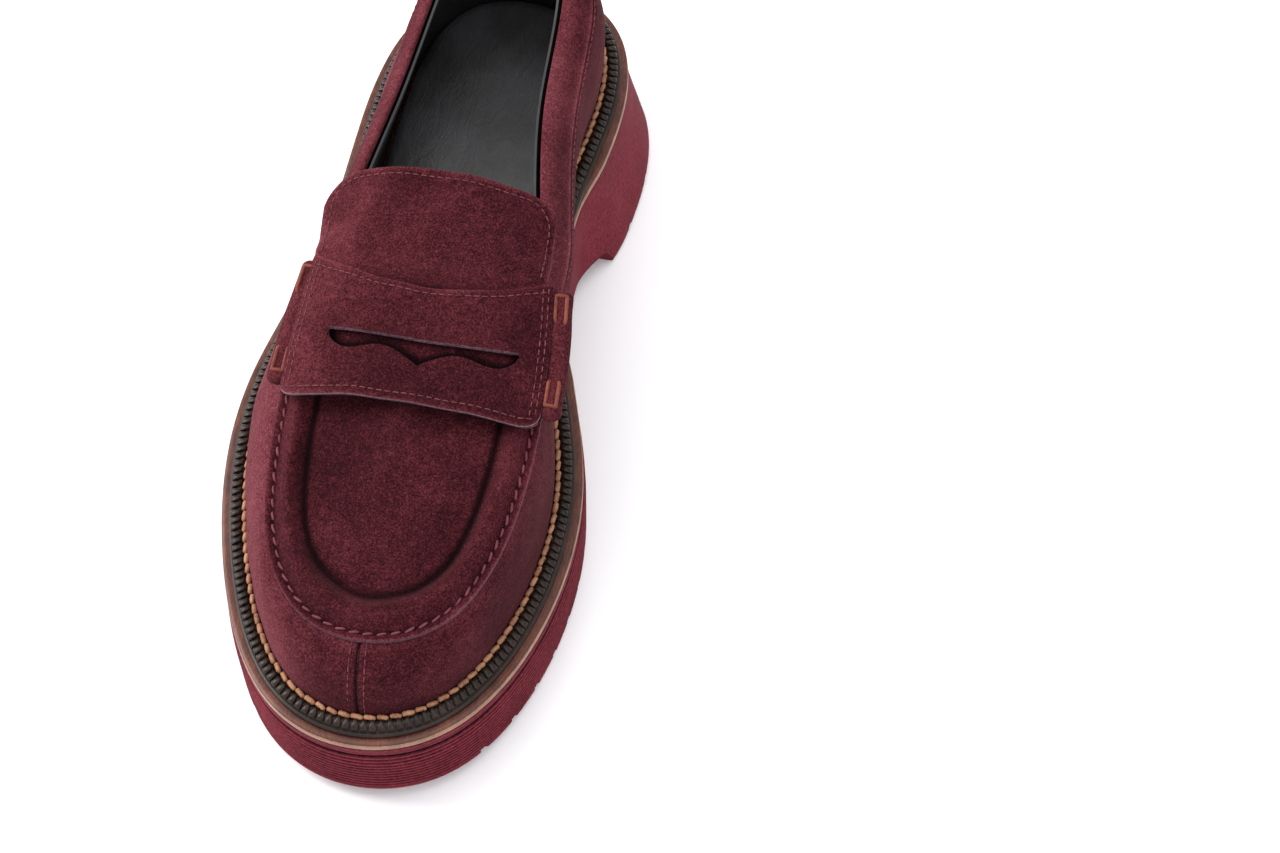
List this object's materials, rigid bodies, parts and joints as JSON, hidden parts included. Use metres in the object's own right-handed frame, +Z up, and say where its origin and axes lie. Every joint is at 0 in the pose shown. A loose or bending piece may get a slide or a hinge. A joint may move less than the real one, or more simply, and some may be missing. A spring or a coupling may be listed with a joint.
{
  "type": "penny loafer",
  "caption": "Suede penny loafer for a right foot: apron with raised ridge, slotted strap with rolled ends, loose tongue, storm welt and chunky grooved sole with heel block.",
  "frame": {"origin": "on the floor, at the flat underside of the sole just ahead of the arch, on the middle line of the shoe", "axes": "+Z up, -Y towards the toe, +X towards the inner side of the foot"},
  "size_m": [0.1227, 0.3096, 0.109],
  "materials": {
    "suede": "napped suede, burgundy",
    "lining": "smooth black lining leather",
    "sock": "fine creased black leather",
    "sole": "matt burgundy foam rubber",
    "midsole": "brown leather with a tan trimmed edge",
    "welt": "dark brown storm welt, semi-gloss",
    "cord": "waxed tan cord",
    "thread": "dusty red polyester thread",
    "tack": "thick twisted rust thread",
    "backing": "raw grey-brown leather",
    "stiffener": "thermoplastic stiffener sheet",
    "cork": "cork filler",
    "board": "insole leather",
    "foam": "soft foam",
    "steel": "spring steel"
  },
  "bodies": {
    "shoe": {"outsole": "sole", "midsole": "midsole", "storm_welt": "welt", "welt_cord": "cord", "shank": "steel", "bottom_filler": "cork", "insole_rib": "board", "insole_board": "board", "footbed_foam": "foam", "sock_lining": "sock", "vamp_medial": "suede", "vamp_lateral": "suede", "quarter_medial": "suede", "quarter_lateral": "suede", "backstay": "suede", "toe_puff": "stiffener", "heel_counter": "stiffener", "vamp_lining": "lining", "quarter_lining": "lining", "topline_collar": "suede", "collar_foam": "foam", "apron": "suede", "apron_lining": "lining", "saddle_strap": "suede", "saddle_backing": "backing", "roll_medial": "suede", "roll_lateral": "suede", "saddle_tacks": "tack", "apron_stitching": "thread", "toe_seam_stitching": "thread", "saddle_stitching": "thread", "collar_stitching": "thread"},
    "tongue_flap": {"tongue": "suede", "tongue_lining": "lining", "tongue_stitching": "thread"}
  },
  "joints": [
    {"name": "tongue_lift", "type": "hinge", "parent": "shoe", "child": "tongue_flap", "pos_m": [0.0007, -0.0118, 0.0998], "axis": [1, 0, 0], "range_deg": [0, 25], "stiffness_Nm_per_rad": 0.02}
  ]
}
